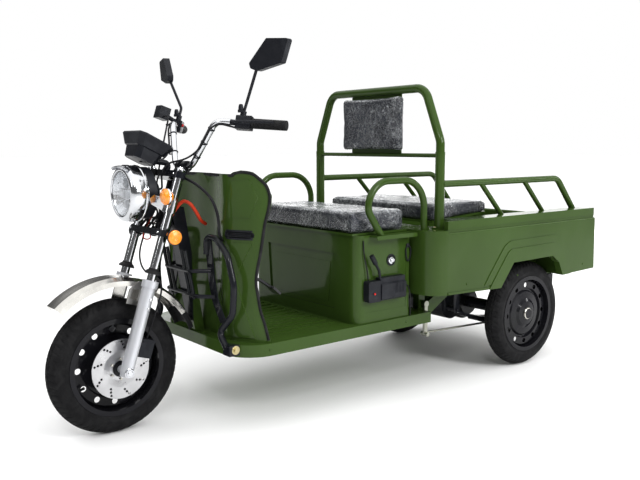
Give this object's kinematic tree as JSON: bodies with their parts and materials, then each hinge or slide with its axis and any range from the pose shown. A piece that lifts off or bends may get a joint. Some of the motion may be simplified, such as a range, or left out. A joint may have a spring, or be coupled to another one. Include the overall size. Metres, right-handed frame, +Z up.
{
  "type": "electric cargo tricycle",
  "caption": "Electric cargo tricycle: steered front wheel, leg shield and footboard, seat box with lifting seat, hoop backrest, and a pressed cargo bed with side rails and drop tailgate.",
  "frame": {"origin": "on the ground under the middle of the vehicle's box: midway between the sides and midway between the front tyre and the tail", "axes": "+X is the vehicle's left, +Y is backwards along its length (the front faces -Y), +Z is up"},
  "size_m": [0.912, 2.3949, 1.2951],
  "materials": {
    "green_paint": "gloss",
    "black_paint": "satin",
    "silver_paint": "satin",
    "bright_metal": "polished",
    "disc_steel": "brushed",
    "tyre_rubber": "matte",
    "grip_rubber": "matte",
    "black_plastic": "satin",
    "lamp_lens": "clear",
    "amber_lens": "gloss",
    "red_lens": "gloss",
    "seat_cover": "gloss"
  },
  "bodies": {
    "chassis": {"chassis_frame": "green_paint", "leaf_springs": "black_paint", "spring_hangers": "green_paint", "rear_axle": "black_paint", "drive_motor": "black_paint", "brake_linkage": "black_paint", "floor_pan": "green_paint", "leg_shield": "green_paint", "front_guards": "black_paint", "seat_box": "green_paint", "armrests": "green_paint", "hand_lever": "black_plastic", "battery_pack": "black_plastic", "roll_bar": "green_paint", "back_cushion": "seat_cover", "bed_side_left": "green_paint", "bed_side_right": "green_paint", "bed_front": "green_paint", "bed_floor": "green_paint", "side_rails": "green_paint", "bench_frame": "green_paint", "bench_cushion": "seat_cover", "tail_lamps": "red_lens", "lever_cables": "black_plastic"},
    "steering": {"fork_sliders": "silver_paint", "fork_tubes": "bright_metal", "fork_clamps": "black_paint", "handlebar": "black_paint", "grips": "grip_rubber", "hand_controls": "black_plastic", "mirrors": "black_plastic", "headlamp_lens": "lamp_lens", "headlamp_shell": "black_plastic", "lamp_brackets": "bright_metal", "amber_lamps": "amber_lens", "instrument_pod": "black_plastic", "front_fender": "bright_metal", "fender_flap": "grip_rubber", "brake_caliper": "black_paint", "switch_cables": "black_plastic", "front_brake_hose": "black_plastic"},
    "front_wheel": {"tyre_front": "tyre_rubber", "rim_front": "black_paint", "brake_disc_front": "disc_steel"},
    "rear_left_wheel": {"tyre_rear_left": "tyre_rubber", "rim_rear_left": "black_paint"},
    "rear_right_wheel": {"tyre_rear_right": "tyre_rubber", "rim_rear_right": "black_paint"},
    "tailgate": {"tailgate": "green_paint"},
    "seat_lid": {"seat_lid": "green_paint", "driver_cushion": "seat_cover"}
  },
  "joints": [
    {"name": "steering_turn", "type": "hinge", "parent": "chassis", "child": "steering", "pos_m": [0, -0.77758, 0.65093], "axis": [0, 0.3123, 0.95], "range_deg": [-40, 40]},
    {"name": "front_wheel_spin", "type": "hinge", "parent": "steering", "child": "front_wheel", "pos_m": [0, -0.964, 0.228], "axis": [1, 0, 0], "continuous": true},
    {"name": "rear_left_wheel_spin", "type": "hinge", "parent": "chassis", "child": "rear_left_wheel", "pos_m": [0.364, 0.769, 0.228], "axis": [1, 0, 0], "continuous": true},
    {"name": "rear_right_wheel_spin", "type": "hinge", "parent": "chassis", "child": "rear_right_wheel", "pos_m": [-0.364, 0.769, 0.228], "axis": [1, 0, 0], "continuous": true},
    {"name": "tailgate_fold", "type": "hinge", "parent": "chassis", "child": "tailgate", "pos_m": [0, 1.196, 0.402], "axis": [-1, 0, 0], "range_deg": [0, 170]},
    {"name": "seat_lift", "type": "hinge", "parent": "chassis", "child": "seat_lid", "pos_m": [0, 0.1055, 0.64], "axis": [-1, 0, 0], "range_deg": [0, 65]}
  ]
}
